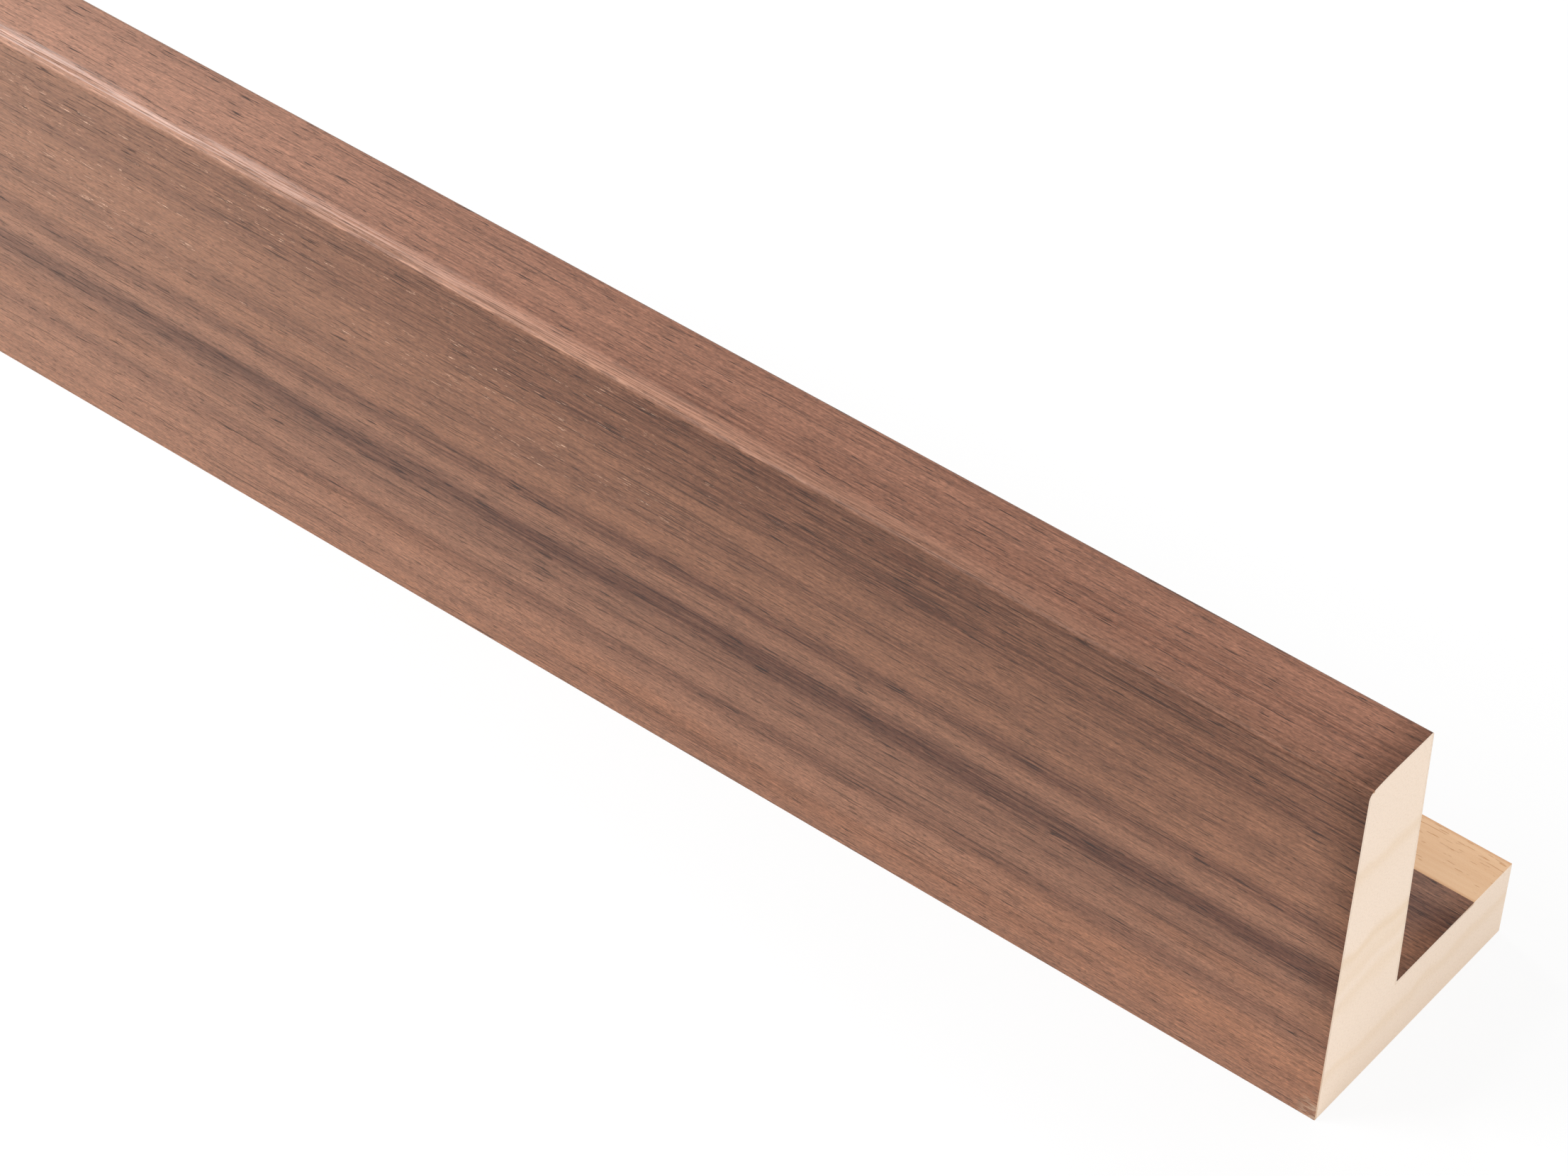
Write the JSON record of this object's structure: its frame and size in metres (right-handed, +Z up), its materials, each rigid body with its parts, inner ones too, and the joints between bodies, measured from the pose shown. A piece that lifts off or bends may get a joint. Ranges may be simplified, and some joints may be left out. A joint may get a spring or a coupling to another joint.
{
  "type": "floater picture frame moulding",
  "caption": "Stick of L-shaped floater frame moulding: pale solid wood wrapped in walnut veneer, with a deep rabbet and square sawn ends.",
  "frame": {"origin": "middle of the base: halfway along the stick and halfway between its outer face and its heel", "axes": "+X along the stick, towards the sawn end seen near in the picture; +Y across it, from the veneered outer face of the leg to the heel of the foot; +Z up, from the base to the top of the leg"},
  "size_m": [1.2192, 0.0382, 0.0508],
  "materials": {
    "walnut_veneer": "satin",
    "pale_core": "matte"
  },
  "bodies": {
    "root": {"core": "pale_core", "walnut_veneer": "walnut_veneer"}
  },
  "joints": []
}
